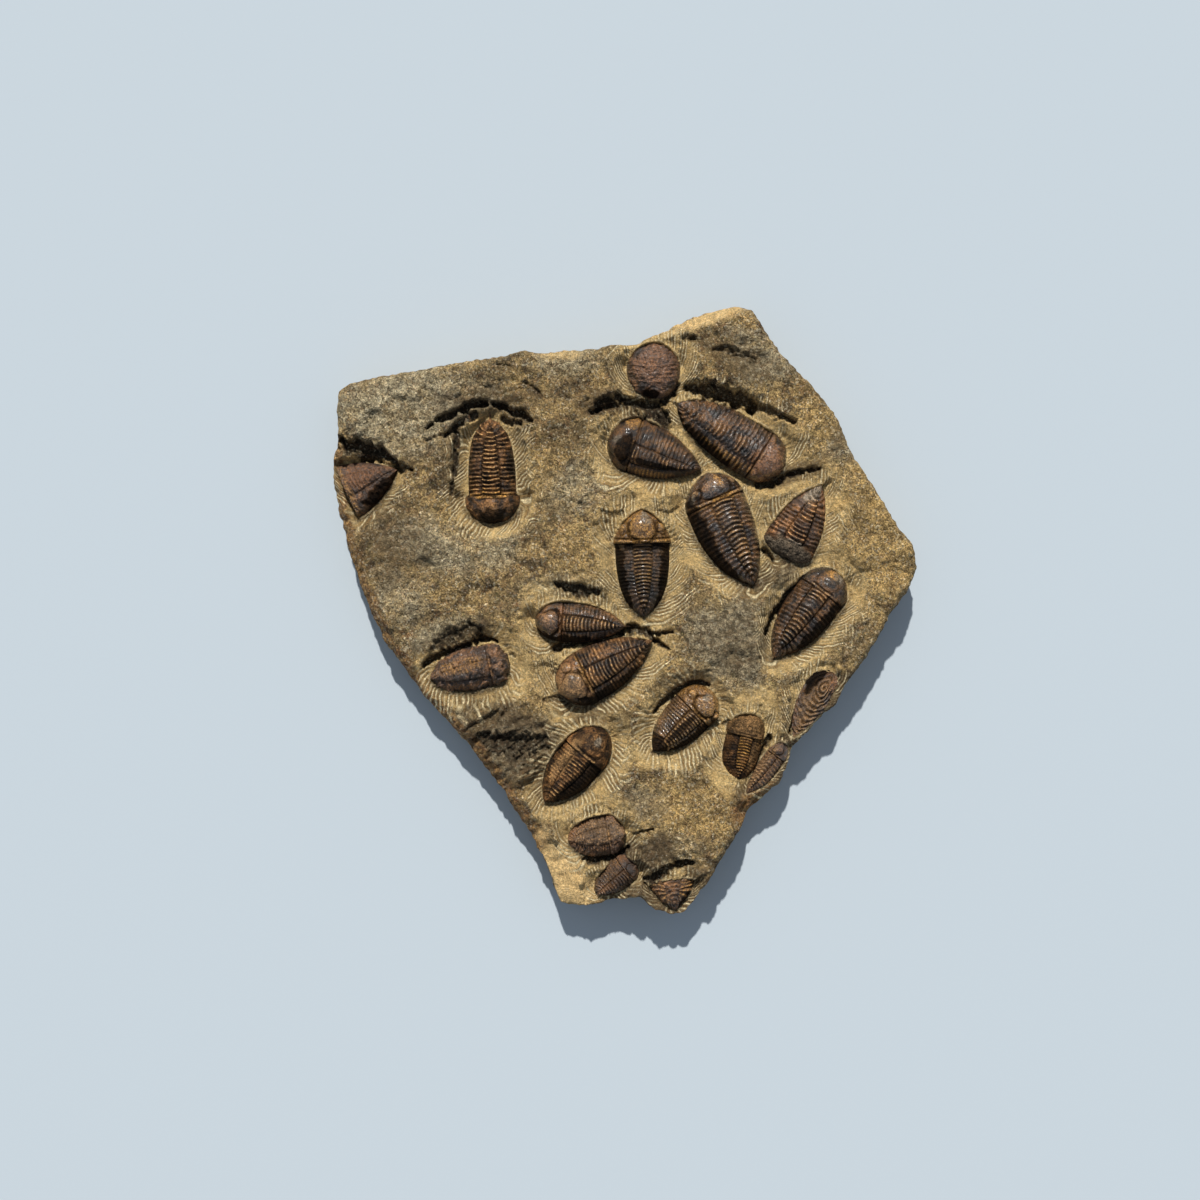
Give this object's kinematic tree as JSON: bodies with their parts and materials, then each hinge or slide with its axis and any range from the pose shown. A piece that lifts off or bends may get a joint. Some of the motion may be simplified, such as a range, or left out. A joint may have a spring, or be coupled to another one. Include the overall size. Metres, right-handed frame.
{
  "type": "fossil trilobite slab",
  "caption": "Flat irregular slab of brown rock with many dark ribbed trilobites standing in relief in the hollows carved round them.",
  "frame": {"origin": "on the flat underside, below the middle of the slab's outline", "axes": "+Z out of the face that shows the fossils, +Y along the slab towards its wide end, +X across it to the right"},
  "size_m": [0.293, 0.306, 0.033],
  "materials": {
    "matrix_rock": "rough fine-grained rock, ochre where it was carved and grey-brown where it is weathered",
    "fossil_dark": "dark brown calcite with a satin polish on its high parts",
    "fossil_red": "rough reddish-brown calcite",
    "fossil_ochre": "dark brown calcite with an ochre head and ochre rings"
  },
  "bodies": {
    "root": {"matrix_slab": "matrix_rock", "trilobite_left_edge": "fossil_red", "trilobite_upper_left": "fossil_dark", "trilobite_top_rolled": "fossil_red", "trilobite_upper_pair_small": "fossil_dark", "trilobite_upper_pair_large": "fossil_dark", "trilobite_centre_large": "fossil_dark", "trilobite_tail_up": "fossil_red", "trilobite_ochre_head": "fossil_ochre", "trilobite_middle_small": "fossil_dark", "trilobite_middle_large": "fossil_dark", "trilobite_far_left": "fossil_red", "trilobite_right_lower": "fossil_dark", "trilobite_centre_lower": "fossil_ochre", "trilobite_lower_left": "fossil_dark", "trilobite_right_edge_flat": "fossil_red", "trilobite_lower_right": "fossil_dark", "trilobite_lower_right_edge": "fossil_red", "trilobite_bottom_left": "fossil_red", "trilobite_bottom_fan": "fossil_red", "trilobite_bottom_wedge": "fossil_red"}
  },
  "joints": []
}
